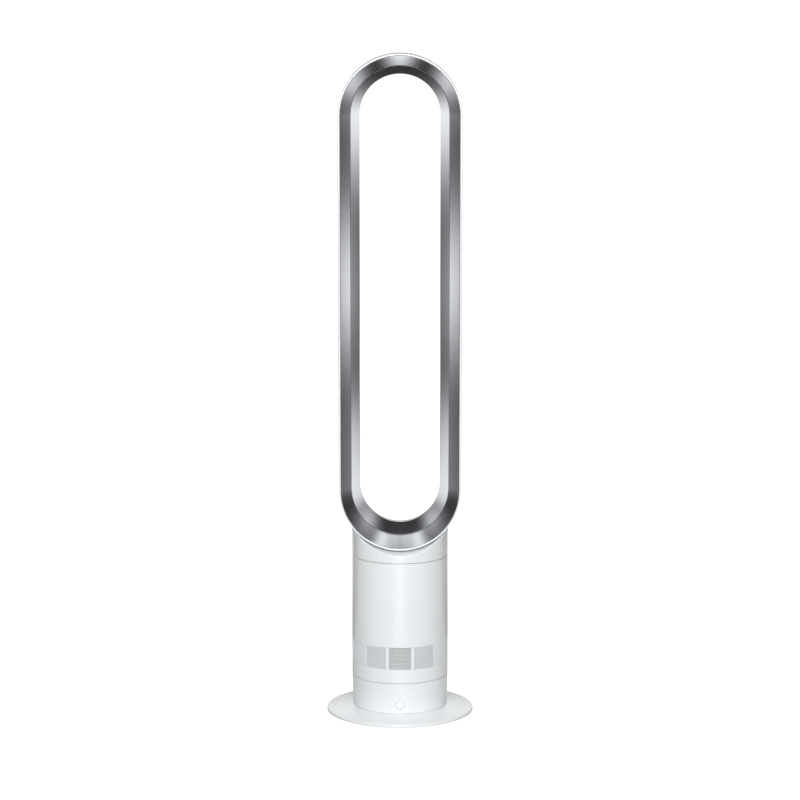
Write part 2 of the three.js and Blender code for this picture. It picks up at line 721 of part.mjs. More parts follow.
function motorBucket() {
  const low = WHEEL_HIGH + 3;
  const body = turned([
    [5, low],
    [BUCKET, low],
    [BUCKET - 1, low + 18],
    [BUCKET - 6, low + 38],
    [BUCKET - 12, low + 49],
    [BUCKET - 14.4, low + 49],
    [BUCKET - 8.6, low + 37.6],
    [BUCKET - 3.6, low + 18],
    [BUCKET - 2.6, low + 2.6],
    [5, low + 2.6],
  ]);
  const inner = BUCKET - 2;
  const outer = CASING_INNER - FAN.tipGap;
  const steps = [[0, 34], [12, 17], [24, 7], [38, 2]];
  const stations = steps.map(([rise, turn]) => [inner - rise * 0.1, outer, low + 6 + rise, turn]);
  return join(body, ...around(blade(stations, 1.8), FAN.vanes));
}

function motorStator() {
  const body = ring(ROTOR.radius + 0.7, STATOR_RADIUS, ROTOR.low, ROTOR.high);
  const slot = rod(0.21 * (STATOR_RADIUS - ROTOR.radius), ROTOR.low - 1, ROTOR.high + 1, TINY);
  const middle = (STATOR_RADIUS + ROTOR.radius) / 2;
  return cut(body, ...[0, 60, 120, 180, 240, 300].map((angle) => placed(slot, middle, angle)));
}

function motorCap() {
  const low = WHEEL_HIGH + 3 + 49 + GAP;
  const edge = BUCKET - 12;
  return turned([
    [0, low + 9],
    [edge * 0.45, low + 7.4],
    [edge * 0.8, low + 3.4],
    [edge - 2.4, low],
    [edge, low],
    [edge * 0.88, low + 4.8],
    [edge * 0.5, low + 9.2],
    [0, low + 11],
  ]);
}

addPiece(airMover, 'inlet_cone', inletCone(), 'grey');
addPiece(airMover, 'fan_casing', fanCasing(), 'grey');
addPiece(airMover, 'impeller', impeller(), 'dark');
addPiece(airMover, 'motor_bucket', motorBucket(), 'grey');
addPiece(airMover, 'motor_shaft', rod(SHAFT.radius, WHEEL_LOW + 1, ROTOR.high + 9, TINY), 'bright');
addPiece(airMover, 'motor_rotor', ring(
  SHAFT.bore,
  ROTOR.radius,
  ROTOR.low + 0.5,
  ROTOR.high - 0.5,
  SMALL,
), 'steel');
addPiece(airMover, 'motor_stator', motorStator(), 'copper');
addPiece(airMover, 'bearing_low', ring(SHAFT.bore, 8, WHEEL_HIGH + 6, WHEEL_HIGH + 10.5, SMALL), 'bright');
addPiece(airMover, 'bearing_high', ring(SHAFT.bore, 8, ROTOR.high + 3, ROTOR.high + 7, SMALL), 'bright');
addPiece(airMover, 'motor_bracket', ring(8 + GAP, BUCKET - 11, ROTOR.high + 3, ROTOR.high + 6), 'grey');
addPiece(airMover, 'driver_board', rod(BUCKET - 18, ROTOR.high + 10.5, ROTOR.high + 12.1), 'board');
addPiece(airMover, 'motor_cap', motorCap(), 'grey');
addPiece(airMover, 'acoustic_foam', ring(
  CASING_RADIUS + GAP,
  INNER_RADIUS - GAP,
  FAN.low + 6,
  CASING_HIGH - 14,
), 'foam');
addPiece(airMover, 'isolation_ring', turned([
  [CASING_RADIUS + GAP, CASING_HIGH - 12],
  [CASING_RADIUS + 4, CASING_HIGH - 12],
  [INNER_RADIUS - 4, CASING_HIGH - 7],
  [INNER_RADIUS - GAP, CASING_HIGH - 7],
  [INNER_RADIUS - GAP, CASING_HIGH - 2],
  [INNER_RADIUS - 5, CASING_HIGH - 2],
  [CASING_RADIUS + 3, CASING_HIGH - 6],
  [CASING_RADIUS + GAP, CASING_HIGH - 6],
]), 'rubber');

// ---------- duct and collar under the loop ----------
const COLLAR = { wall: 3, play: 0.7 };
const ROOF_LOW = LOOP_LOW_CENTRE - LOOP_RADIUS - COLLAR.play - COLLAR.wall;
const LOOP_SCREWS = [-34, 34];

// Round tube whose rings are [centre y, level, radius], outside first, then inside.
function duct() {
  const low = CASING_HIGH + GAP;
  const high = ROOF_LOW - GAP;
  const path = [[0, 0], [0, 0.2], [0.3, 0.5], [0.8, 0.8], [1, 1]];
  const stations = path.map(([share, rise]) => [
    DUCT_SHIFT * share,
    low + (high - low) * rise,
    CASING_RADIUS - 1 + (DUCT_RADIUS + 2 - CASING_RADIUS + 1) * share,
  ]);
  const outside = stations.map(([y, z, r]) => circleRow(y, z, r));
  const inside = stations.map(([y, z, r]) => circleRow(y, z, r - 2)).reverse();
  return meshFromGrid([...outside, ...inside], true);
}

function circleRow(y, z, radius, steps = MEDIUM) {
  return Array.from({ length: steps }, (_, i) => {
    const angle = 2 * Math.PI * i / steps;
    return [radius * Math.cos(angle), y + radius * Math.sin(angle), z];
  });
}

function collar() {
  const low = COLLAR_SEAM + SEAM;
  const high = LOOP_LOW_CENTRE;
  const reach = COLUMN_RADIUS + 10;
  const outside = rod(COLUMN_RADIUS, low, high, FINE);
  const inside = rod(COLUMN_RADIUS - COLLAR.wall, low - 1, high + 1, FINE);
  const saddle = loopBlock(COLLAR.play, -reach, reach);
  const underRoof = solid(inside).subtract(solid(loopBlock(COLLAR.play + COLLAR.wall, -reach, reach)));
  const opening = rod(DUCT_RADIUS, low, high, MEDIUM).translate(0, DUCT_SHIFT, 0);
  const screwHole = rod(SCREW.hole, low, high, TINY);
  const holes = LOOP_SCREWS.map((x) => screwHole.clone().translate(x, DUCT_SHIFT, 0));
  return cut(outside, saddle, shape(underRoof), opening, ...holes);
}

addPiece(upper, 'air_duct', duct(), 'grey');
addPiece(upper, 'joint_ring', ring(
  COLUMN_RADIUS - COLLAR.wall - 3.4,
  COLUMN_RADIUS - COLLAR.wall - GAP,
  COLLAR_SEAM - 6,
  COLLAR_SEAM + 5,
), 'grey');
addPiece(upper, 'neck_collar', collar(), 'white');

// ---------- loop ----------
const LIP = { front: -44.2, outer: 1.3, inner: 3.9 };
const SKIN = 2.4;
const SLIT = { inset: 18.3, width: 1.5, depth: -9.6 };
const THROAT = 32;          // inset of the narrowest place
const BACK = 54;
const LOOP_JOINT = 40.6;    // depth of the joint between shell and inner ring

const SHELL_SECTION = [
  [LIP.outer + 0.7, LIP.front],
  [LIP.outer, LIP.front + 1],
  [0.4, -20],
  [0, 10],
  [0.9, 26],
  [3.3, 39],
  [7.8, 48.5],
  [13.8, 53],
  [20, BACK],
  [26, 51.5],
  [30, 46.5],
  [THROAT - 0.6, LOOP_JOINT],
  [THROAT - 2.8, LOOP_JOINT],
  [24.6, 48.8],
  [19.6, BACK - SKIN],
  [14.4, 50.6],
  [9.6, 46.8],
  [5.6, 37.8],
  [SKIN + 0.3, 18],
  [SKIN + 0.3, -10],
  [LIP.inner - GAP, LIP.front + 4],
  [LIP.inner - GAP, LIP.front],
];

const OUTER_RING_SECTION = [
  [LIP.inner, LIP.front + 0.4],
  [SLIT.inset, SLIT.depth],
  [SLIT.inset - 2.2, SLIT.depth],
  [LIP.inner, LIP.front + 5.6],
];

// The inner ring is a straight slope from the slit to the throat, then runs back to the joint.
const RING_START = SLIT.inset + SLIT.width;
const RING_DEPTH = { start: SLIT.depth + 1.6, end: SLIT.depth + 40.6 };

const INNER_RING_SECTION = [
  [RING_START, RING_DEPTH.start],
  [THROAT, RING_DEPTH.end],
  [THROAT - 0.6, LOOP_JOINT - 0.4],
  [THROAT - 2.3, LOOP_JOINT - 0.4],
  [THROAT - 2, RING_DEPTH.end + 0.6],
  [RING_START - 1.4, RING_DEPTH.start + 1],
];

function loopShell() {
  const body = loopSweep(SHELL_SECTION);
  const bosses = LOOP_SCREWS.map((x) => {
    const skin = loopUnderside(x, -SKIN / 2);
    return rod(4, skin, skin + 12, TINY).translate(x, DUCT_SHIFT, 0);
  });
  const opening = rod(DUCT_RADIUS, ROOF_LOW - 10, LOOP_LOW_CENTRE - LOOP_RADIUS + 14, MEDIUM)
    .translate(0, DUCT_SHIFT, 0);
  const pilot = rod(SCREW.pilot, ROOF_LOW, loopUnderside(LOOP_SCREWS[0], 0) + 15, TINY);
  const pilots = LOOP_SCREWS.map((x) => pilot.clone().translate(x, DUCT_SHIFT, 0));
  return cut(join(body, ...bosses), opening, ...pilots);
}

// Wedge that parts the rising air to the two sides of the loop.
function flowSplitter() {
  const low = LOOP_LOW_CENTRE - LOOP_RADIUS + SKIN + 4;
  const high = LOOP_LOW_CENTRE - LOOP_RADIUS + 20;
  const wedge = new THREE.Shape([
    new THREE.Vector2(0, low),
    new THREE.Vector2(7, high),
    new THREE.Vector2(-7, high),
  ]);
  return new THREE.ExtrudeGeometry(wedge, { depth: 30, bevelEnabled: false })
    .rotateX(Math.PI / 2)
    .translate(0, 34, 0);
}

addPiece(loop, 'loop_shell', loopShell(), 'white');
addPiece(loop, 'outer_ring', loopSweep(OUTER_RING_SECTION), 'silver');
addPiece(loop, 'inner_ring', loopSweep(INNER_RING_SECTION), 'silver');
addPiece(loop, 'flow_splitter', flowSplitter(), 'grey');
addPiece(loop, 'loop_seal', ring(
  DUCT_RADIUS - 3,
  DUCT_RADIUS - 0.5,
  ROOF_LOW,
  LOOP_LOW_CENTRE - LOOP_RADIUS + SKIN + 3,
).translate(0, DUCT_SHIFT, 0), 'rubber');
LOOP_SCREWS.forEach((x, i) => {
  const headLow = loopUnderside(Math.abs(x) - SCREW.head, COLLAR.play + COLLAR.wall) - SCREW.headHeight - GAP;
  const screw = screwUp(headLow, loopUnderside(x, 0) + 11);
  addPiece(loop, `loop_screw_${i + 1}`, screw, 'bright', [x, DUCT_SHIFT, 0]);
});

export default fan;
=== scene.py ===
# %% [markdown]
# # A tower fan with an open loop
# This lesson dresses a finished engineering model of a tower fan. The model comes in as fixed
# nodes that already sit in the right place, in metres. Shapes that people see up close are built
# again here with smooth curves and soft edges. Everything else only gets a better finish.
# Nothing made later may grow out of it.

# %% Load the fixed frame
import json
import math

import bmesh
import bpy
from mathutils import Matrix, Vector


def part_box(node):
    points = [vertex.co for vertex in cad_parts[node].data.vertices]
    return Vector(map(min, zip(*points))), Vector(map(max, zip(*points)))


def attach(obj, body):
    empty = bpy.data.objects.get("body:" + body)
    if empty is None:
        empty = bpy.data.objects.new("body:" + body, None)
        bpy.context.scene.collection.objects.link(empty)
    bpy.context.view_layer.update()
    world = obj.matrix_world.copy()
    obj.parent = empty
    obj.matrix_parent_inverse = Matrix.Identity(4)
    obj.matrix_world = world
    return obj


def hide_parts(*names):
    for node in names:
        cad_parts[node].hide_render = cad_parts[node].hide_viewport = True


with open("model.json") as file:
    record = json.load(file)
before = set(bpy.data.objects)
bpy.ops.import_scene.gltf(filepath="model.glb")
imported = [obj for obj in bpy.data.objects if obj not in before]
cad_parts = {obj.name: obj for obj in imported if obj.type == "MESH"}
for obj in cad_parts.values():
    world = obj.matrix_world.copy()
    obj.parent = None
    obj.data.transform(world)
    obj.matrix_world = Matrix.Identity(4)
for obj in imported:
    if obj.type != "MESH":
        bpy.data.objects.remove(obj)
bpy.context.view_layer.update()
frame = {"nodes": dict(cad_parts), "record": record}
print("fixed nodes:", len(frame["nodes"]))

# %% [markdown]
# ## Camera
# The fan is seen from straight ahead, from a little above its top, with a long lens. A long lens
# far away keeps tall things straight. The camera is tilted down by a few degrees so that the
# whole fan sits in the frame.

# %% Camera
CAMERA_PLACE = (0.0, -3.740, 1.047)
CAMERA_TILT = math.radians(8.571)
CAMERA_LENS = 111.85


def add_camera():
    data = bpy.data.cameras.new("camera")
    data.lens = CAMERA_LENS
    data.sensor_width = 36.0
    data.clip_end = 50.0
    camera = bpy.data.objects.new("camera", data)
    camera.location = CAMERA_PLACE
    camera.rotation_euler = (math.pi / 2 - CAMERA_TILT, 0, 0)
    bpy.context.scene.collection.objects.link(camera)
    bpy.context.scene.camera = camera
    return camera


print("camera:", add_camera().name)

# %% [markdown]
# ## Sizes that the shapes share
# Every level and radius is read from the boxes of the fixed nodes. If the model changes, these
# shapes follow it. A few small measures, such as wall thickness, are named here once.

# %% Sizes read from the nodes
MM = 0.001


def top_of(node):
    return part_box(node)[1].z


def bottom_of(node):
    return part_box(node)[0].z


COLUMN_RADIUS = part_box("column_shell")[1].x
FOOT_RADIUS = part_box("foot_disc")[1].x
LOOP_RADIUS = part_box("loop_shell")[1].x
LOOP_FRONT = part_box("loop_shell")[0].y
LOOP_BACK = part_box("loop_shell")[1].y
LOOP_LOW = bottom_of("loop_shell") + LOOP_RADIUS
LOOP_HIGH = top_of("loop_shell") - LOOP_RADIUS
WALL = 2.6 * MM
print("column", COLUMN_RADIUS, "foot", FOOT_RADIUS, "loop", LOOP_RADIUS, LOOP_LOW, LOOP_HIGH)

# %% [markdown]
# ## Drawing an outline and turning it
# Most of this fan is either turned, like the foot, or carried round a loop. Both start the same
# way: a closed outline is drawn by pulling one point along, corner by corner. A plane that is
# merged into a single point is the easiest way to get that first point. The spin operator then
# carries the outline round. A bevelled primitive could give similar shapes, but the outline lets
# every edge have its own radius.

# %% Outline helpers


def select_only(piece):
    bpy.ops.object.select_all(action="DESELECT")
    piece.select_set(True)
    bpy.context.view_layer.objects.active = piece


def rename(piece, name):
    piece.name = name
    piece.data.name = name


def soften(corners, steps=5):
    """Run of (a, b, radius) corners, each rounded to its radius and held flat on both sides."""
    path = []
    count = len(corners)
    for i, (a, b, radius) in enumerate(corners):
        here = Vector((a, b))
        if radius <= 0:
            path.append((a, b))
            continue
        before = Vector(corners[i - 1][:2]) - here
        after = Vector(corners[(i + 1) % count][:2]) - here
        half = before.angle(after) / 2
        reach = min(radius / math.tan(half), before.length * 0.49, after.length * 0.49)
        start = here + before.normalized() * reach
        end = here + after.normalized() * reach
        held_start = here + before.normalized() * min(reach * 1.6, before.length * 0.495)
        held_end = here + after.normalized() * min(reach * 1.6, after.length * 0.495)
        path.append(tuple(held_start))
        for k in range(steps + 1):
            t = k / steps
            bend = start * (1 - t) ** 2 + here * 2 * t * (1 - t) + end * t ** 2
            path.append((bend.x, bend.y))
        path.append(tuple(held_end))
    return path


def flowing(points, steps=4):
    """A smooth run of points through the given ones."""
    full = [points[0]] + list(points) + [points[-1]]
    path = []
    for i in range(1, len(full) - 2):
        p0, p1, p2, p3 = (Vector(p) for p in full[i - 1:i + 3])
        for k in range(steps):
            t = k / steps
            path.append(tuple(0.5 * (
                2 * p1 + (p2 - p0) * t + (2 * p0 - 5 * p1 + 4 * p2 - p3) * t ** 2
                + (3 * p1 - p0 - 3 * p2 + p3) * t ** 3)))
    path.append(tuple(points[-1]))
    return path


def draw_outline(name, points):
    """Pulls a single point along a closed outline and leaves it selected in edit mode."""
    bpy.ops.object.select_all(action="DESELECT")
    bpy.ops.mesh.primitive_plane_add(size=MM, location=points[0])
    piece = bpy.context.object
    rename(piece, name)
    bpy.ops.object.transform_apply(location=True)
    bpy.ops.object.mode_set(mode="EDIT")
    bpy.ops.mesh.select_all(action="SELECT")
    bpy.ops.mesh.merge(type="CENTER")
    for here, there in zip(points, points[1:]):
        step = Vector(there) - Vector(here)
        bpy.ops.mesh.extrude_vertices_move(TRANSFORM_OT_translate={"value": tuple(step)})
    bpy.ops.mesh.select_all(action="DESELECT")
    outline = bmesh.from_edit_mesh(piece.data)
    outline.verts.ensure_lookup_table()
    outline.verts[0].select = True
    outline.verts[len(outline.verts) - 1].select = True
    outline.select_flush(True)
    bmesh.update_edit_mesh(piece.data)
    bpy.ops.mesh.edge_face_add()
    bpy.ops.mesh.select_all(action="SELECT")
    return piece


def close_up(piece, angle=30):
    """Merges doubles, turns all faces outwards and smooths the soft edges."""
    bpy.ops.object.mode_set(mode="EDIT")
    bpy.ops.mesh.select_all(action="SELECT")
    bpy.ops.mesh.remove_doubles(threshold=0.005 * MM)
    bpy.ops.mesh.normals_make_consistent(inside=False)
    bpy.ops.object.mode_set(mode="OBJECT")
    select_only(piece)
    bpy.ops.object.shade_smooth_by_angle(angle=math.radians(angle))
    print(piece.name, len(piece.data.polygons), "faces")
    return piece


def turn(name, corners, steps=192, axis=(0, 0, 1), centre=(0, 0, 0), place=None):
    """A turned piece from (radius, level, corner radius) corners in millimetres."""
    path = soften([(r * MM, z * MM, c * MM) for r, z, c in corners])
    place = place or (lambda r, z: (r, 0, z))
    piece = draw_outline(name, [place(r, z) for r, z in path])
    bpy.ops.mesh.spin(steps=steps, angle=2 * math.pi, center=centre, axis=axis)
    return close_up(piece)


def apply_modifier(piece, kind, **settings):
    select_only(piece)
    modifier = piece.modifiers.new(kind.lower(), kind)
    for key, value in settings.items():
        setattr(modifier, key, value)
    bpy.ops.object.modifier_apply(modifier=modifier.name)


def carve(piece, cutter, operation="DIFFERENCE"):
    """Cuts with a solid and throws the solid away."""
    apply_modifier(piece, "BOOLEAN", operation=operation, solver="EXACT", object=cutter)
    bpy.data.objects.remove(cutter)


def cylinder(radius, depth, place, turned=(0, 0, 0), vertices=64):
    bpy.ops.object.select_all(action="DESELECT")
    bpy.ops.mesh.primitive_cylinder_add(
        vertices=vertices, radius=radius, depth=depth, location=place, rotation=turned)
    return bpy.context.object


# %% [markdown]
# ## Foot disc
# The foot is a thin round tray, turned upside down over a steel plate. Its top rises gently from
# a small rounded rim to the column. One outline, spun about the upright axis, gives the whole
# tray with its hollow underside.

# %% Foot disc
foot_r = FOOT_RADIUS / MM
column_r = COLUMN_RADIUS / MM
foot_line = top_of("foot_disc") / MM
FOOT_BORE = 30
FOOT_EDGE = 5.0
FOOT_WALL = 1.8
FOOT_RIM_LOW = 0.8


def foot_top(radius):
    share = max((radius - column_r) / (foot_r - column_r), 0)
    return foot_line - share * (foot_line - FOOT_EDGE)


foot = turn("foot_tray", [
    (FOOT_BORE, foot_line, 0.3),
    (column_r, foot_line, 4),
    (foot_r, foot_top(foot_r), 1.9),
    (foot_r, FOOT_RIM_LOW, 0.5),
    (foot_r - FOOT_WALL, FOOT_RIM_LOW, 0.3),
    (foot_r - FOOT_WALL, foot_top(foot_r - FOOT_WALL) - FOOT_WALL, 1),
    (column_r, foot_line - FOOT_WALL, 4),
    (FOOT_BORE, foot_line - FOOT_WALL, 0.3),
], steps=256)
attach(foot, "base")
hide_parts("foot_disc")

# %% [markdown]
# ## Foot pads
# Four soft rubber buttons stop the foot from sliding. They are low domed discs. Each one is
# turned on its own, and each keeps its own mesh.

# %% Foot pads
PAD_NODES = ["foot_pad_%d" % (i + 1) for i in range(4)]


def turn_pad(node):
    low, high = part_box(node)
    middle = (low + high) / 2
    radius = (high.x - low.x) / 2 / MM
    piece = turn(node + "_rubber", [
        (0, high.z / MM, 0),
        (radius, high.z / MM, 0.1),
        (radius, 0, 0.9),
        (radius - 2.4, 0, 0.2),
        (radius - 2.8, 0.4, 0.2),
        (0, 0.4, 0),
    ], steps=48, centre=middle, place=lambda r, z: (middle.x + r, middle.y, z))
    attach(piece, "base")
    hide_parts(node)
    return piece


pads = [turn_pad(node) for node in PAD_NODES]

# %% [markdown]
# ## Lower housing
# This short drum holds the button and the mains socket. It is very slightly narrower at the
# bottom. The round window for the button and the square port for the socket are cut with simple
# solids. A boolean is the right tool here, because both cuts go straight through a curved wall.

# %% Lower housing
housing_low = bottom_of("control_housing") / MM
housing_high = top_of("control_housing") / MM
BUTTON_LEVEL = (top_of("power_button") + bottom_of("power_button")) / 2
HOUSING_TAPER = 1.3
BUTTON_RADIUS = 6.6 * MM
BUTTON_GAP = 0.35 * MM
HOUSING_RIM = 16
HOUSING_FLOOR = 3
PORT_WIDTH = 20.6 * MM
PORT_HEIGHT = 12.6 * MM
CUT_DEPTH = 20 * MM
wall = WALL / MM

housing = turn("lower_housing", [
    (column_r - HOUSING_RIM, housing_low, 0.3),
    (column_r - HOUSING_TAPER, housing_low, 0.35),
    (column_r, housing_high, 0.5),
    (column_r - wall, housing_high, 0.3),
    (column_r - HOUSING_TAPER - wall, housing_low + HOUSING_FLOOR, 0.5),
    (column_r - HOUSING_RIM, housing_low + HOUSING_FLOOR, 0.3),
], steps=256)
across = (math.pi / 2, 0, 0)
window = cylinder(
    BUTTON_RADIUS + BUTTON_GAP, CUT_DEPTH, (0, -COLUMN_RADIUS, BUTTON_LEVEL), across, 96)
carve(housing, window)
bpy.ops.mesh.primitive_cube_add(size=1, location=(0, COLUMN_RADIUS, BUTTON_LEVEL))
port = bpy.context.object
port.scale = (PORT_WIDTH, CUT_DEPTH, PORT_HEIGHT)
carve(housing, port)
close_up(housing)
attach(housing, "base")
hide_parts("control_housing")

# %% [markdown]
# ## Power button
# The button is flush with the drum, so its face has the drum's curve and only a hair-thin ring
# shows round it. It is turned about its own axis with the flange and stem behind it, and then
# only what lies inside the drum's outer surface is kept. Cutting with the same outer surface
# makes the two faces match exactly.

# %% Power button
button_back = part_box("power_button")[1].y / MM
face = -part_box("power_button")[0].y / MM
inside = face - wall
key_r = BUTTON_RADIUS / MM
FLANGE_RADIUS = 8.4
STEM_RADIUS = 2.4
level = BUTTON_LEVEL / MM
button = turn("power_key", [
    (0, face + 5, 0),
    (key_r, face + 5, 0),
    (key_r, inside - 1, 0.2),
    (FLANGE_RADIUS, inside - 1, 0.2),
    (FLANGE_RADIUS, inside - 2.5, 0.3),
    (STEM_RADIUS, inside - 2.5, 0.3),
    (STEM_RADIUS, -button_back, 0.3),
    (0, -button_back, 0),
], steps=96, axis=(0, 1, 0), centre=(0, 0, BUTTON_LEVEL),
    place=lambda r, y: (r, -y, BUTTON_LEVEL))
drum = turn("drum", [
    (0, housing_low, 0),
    (column_r - HOUSING_TAPER, housing_low, 0),
    (column_r, housing_high, 0),
    (0, housing_high, 0),
], steps=256)
carve(button, drum, "INTERSECT")
apply_modifier(
    button, "BEVEL", width=0.25 * MM, segments=3, limit_method="ANGLE",
    angle_limit=math.radians(60))
close_up(button)
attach(button, "button")
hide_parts("power_button")

# %% [markdown]
# ## Column above the swivel seam
# The rotating column is one plain tube, but a band of tiny air holes runs round it. The plain
# parts below and above the band are turned. They end where the band begins, with no gap, so the
# wall reads as one surface. The lower part carries the flange that the turntable screws into.

# %% Plain parts of the column
SEAM_LOW = bottom_of("column_shell") / MM
SEAM_HIGH = top_of("column_shell") / MM
HOLE_ROWS = 17
HOLE_PITCH = 2.33
ROW_PITCH = HOLE_PITCH * math.sqrt(3) / 2
HOLE_RADIUS = 0.86
BAND_MIDDLE = 97.55
BAND_HALF = (HOLE_ROWS - 1) / 2 * ROW_PITCH + HOLE_RADIUS + 0.5
band_low = BAND_MIDDLE - BAND_HALF
band_high = BAND_MIDDLE + BAND_HALF
inner_r = column_r - wall
COLUMN_FLANGE = 15.6
COLUMN_FLOOR = 3

column_low = turn("column_lower", [
    (column_r - COLUMN_FLANGE, SEAM_LOW, 0.3),
    (column_r, SEAM_LOW, 0.5),
    (column_r, band_low, 0),
    (inner_r, band_low, 0),
    (inner_r, SEAM_LOW + COLUMN_FLOOR, 0.5),
    (column_r - COLUMN_FLANGE, SEAM_LOW + COLUMN_FLOOR, 0.3),
], steps=240)
column_high = turn("column_upper", [
    (column_r, band_high, 0),
    (column_r, SEAM_HIGH, 0.5),
    (inner_r, SEAM_HIGH, 0.3),
    (inner_r, band_high, 0),
], steps=240)
for tube in (column_low, column_high):
    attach(tube, "upper")
    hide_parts("column_shell")

# %% [markdown]
# ## Air inlet band
# The band has twelve moulded panels. In each panel all holes point the same way, because a flat
# tool slides out of the mould there. That is why one panel looks dark and its neighbours look
# light: only the facing one can be seen through. One cell of a honeycomb is made by bridging a
# small circle to a hexagon. Copies of it fill a flat panel, solid cells close the rim, and two
# bisects trim it. After a thickness is added, the panel is projected onto the round wall and
# copied round the column.

# %% One flat panel
PANELS = 12
panel_angle = 2 * math.pi / PANELS
panel_half = COLUMN_RADIUS * math.sin(panel_angle / 2)
cell_radius = HOLE_PITCH / math.sqrt(3) * MM
upright = (math.pi / 2, 0, 0)


def start_cell(name, hole):
    bpy.ops.object.select_all(action="DESELECT")
    kind = "NOTHING" if hole else "NGON"
    bpy.ops.mesh.primitive_circle_add(
        vertices=6, radius=cell_radius, fill_type=kind, rotation=upright)
    piece = bpy.context.object
    rename(piece, name)
    bpy.ops.object.transform_apply(rotation=True)
    bpy.ops.object.mode_set(mode="EDIT")
    if hole:
        bpy.ops.mesh.primitive_circle_add(
            vertices=10, radius=HOLE_RADIUS * MM, fill_type="NOTHING", rotation=upright)
        bpy.ops.mesh.select_all(action="SELECT")
        bpy.ops.mesh.bridge_edge_loops()
    bpy.ops.mesh.select_all(action="SELECT")
    return piece


def fill_cells(piece, places):
    """Copies the first cell to every other place, still in edit mode."""
    bpy.ops.transform.translate(value=tuple(places[0]))
    here = places[0]
    for there in places[1:]:
        step = there - here
        bpy.ops.mesh.duplicate_move(TRANSFORM_OT_translate={"value": tuple(step)})
        here = there
    bpy.ops.object.mode_set(mode="OBJECT")
    return piece


def lattice():
    """Centres of the holes and of the solid cells round them, row by row."""
    holes, solids = [], []
    for row in range(-1, HOLE_ROWS + 1):
        z = BAND_MIDDLE + (row - (HOLE_ROWS - 1) / 2) * ROW_PITCH
        inner = range(-7, 8) if row % 2 == 0 else range(-7, 7)
        shift = 0 if row % 2 == 0 else 0.5
        for column in range(-9, 10):
            centre = Vector(((column + shift) * HOLE_PITCH, 0, z)) * MM
            open_row = 0 <= row < HOLE_ROWS
            (holes if open_row and column in inner else solids).append(centre)
    return holes, solids


hole_places, solid_places = lattice()
net = fill_cells(start_cell("inlet_net", True), hole_places)
rim = fill_cells(start_cell("inlet_rim", False), solid_places)
bpy.ops.object.select_all(action="DESELECT")
net.select_set(True)
rim.select_set(True)
bpy.context.view_layer.objects.active = net
bpy.ops.object.join()
band = net
rename(band, "inlet_band")
print("holes in a panel:", len(hole_places))

# %% Trim the panel and give it thickness
bpy.ops.object.mode_set(mode="EDIT")
for point, normal in (
    ((panel_half, 0, 0), (1, 0, 0)),
    ((-panel_half, 0, 0), (-1, 0, 0)),
    ((0, 0, band_high * MM), (0, 0, 1)),
    ((0, 0, band_low * MM), (0, 0, -1)),
):
    bpy.ops.mesh.select_all(action="SELECT")
    bpy.ops.mesh.bisect(plane_co=point, plane_no=normal, clear_outer=True)
bpy.ops.mesh.select_all(action="SELECT")
bpy.ops.mesh.remove_doubles(threshold=0.01 * MM)
bpy.ops.mesh.quads_convert_to_tris()
bpy.ops.mesh.normals_make_consistent(inside=False)
bpy.ops.object.mode_set(mode="OBJECT")
facing = sum(face.normal.y for face in band.data.polygons)
if facing > 0:
    bpy.ops.object.mode_set(mode="EDIT")
    bpy.ops.mesh.select_all(action="SELECT")
    bpy.ops.mesh.flip_normals()
    bpy.ops.object.mode_set(mode="OBJECT")
apply_modifier(band, "SOLIDIFY", thickness=WALL, offset=-1)

# %% [markdown]
# Now the flat panel is laid on the round wall. Moving every point straight forwards keeps the
# holes parallel. The front points go to the outer radius and the back points to the inner one.
# This is done in code, point by point, because a bend would fan the holes out.

# %% Lay the panel on the wall
inner_radius = COLUMN_RADIUS - WALL
inner_half = inner_radius * math.sin(panel_angle / 2)
for vertex in band.data.vertices:
    x, y, z = vertex.co
    behind = y > WALL / 2
    radius = inner_radius if behind else COLUMN_RADIUS
    if behind and abs(x) > panel_half - 0.05 * MM:
        x = math.copysign(inner_half, x)
    vertex.co = (x, -math.sqrt(radius ** 2 - x ** 2), z)
bpy.ops.object.mode_set(mode="EDIT")
bpy.ops.mesh.select_all(action="DESELECT")
panel = bmesh.from_edit_mesh(band.data)
for face in panel.faces:
    ends = [abs(abs(math.atan2(v.co.x, -v.co.y)) - panel_angle / 2) < 0.0004 for v in face.verts]
    face.select = all(ends)
bmesh.update_edit_mesh(band.data)
bpy.ops.mesh.delete(type="FACE")
bpy.ops.mesh.select_all(action="SELECT")
for _ in range(PANELS - 1):
    bpy.ops.mesh.duplicate()
    bpy.ops.transform.rotate(
        value=panel_angle, orient_axis="Z", center_override=(0, 0, 0))
close_up(band)
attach(band, "upper")
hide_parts("column_shell")

# %% [markdown]
# ## Dark sleeve behind the holes
# Behind the holes sits a dark sleeve with a woven look. It is painted shade: it stands in for the
# dark inside of the column. Without it, light from the far side would shine through and the band
# would look like paper. It is a thin turned tube with two soft rims.

# %% Inlet shade sleeve
shade_sleeve_r = inner_r - 0.8
SHADE_SLEEVE_WALL = 0.7
# This dark sleeve is painted shade for the dark inside of the column behind the holes.
shade_sleeve = turn("inlet_shade_sleeve", [
    (shade_sleeve_r - SHADE_SLEEVE_WALL, band_low - 3, 0.2),
    (shade_sleeve_r, band_low - 3, 0.2),
    (shade_sleeve_r, band_high + 1, 0.2),
    (shade_sleeve_r - SHADE_SLEEVE_WALL, band_high + 1, 0.2),
], steps=120)
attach(shade_sleeve, "upper")

# %% [markdown]
# ## Neck collar with its saddle
# The collar carries the loop. Its top edge follows the round underside of the loop, so it is low
# in front and high at the sides. A circle is pulled up and inwards ring by ring, and each ring
# is then dropped onto the saddle in code, since its height depends only on how far a point is
# from the middle. Solidify gives it a wall at the end.

# %% Neck collar
COLLAR_LOW = bottom_of("neck_collar")
SADDLE_RADIUS = LOOP_RADIUS + 0.7 * MM
COLLAR_WALL = 3 * MM
DUCT_RADIUS = 25 * MM
DUCT_SHIFT = 6 * MM
EDGE = 0.9 * MM


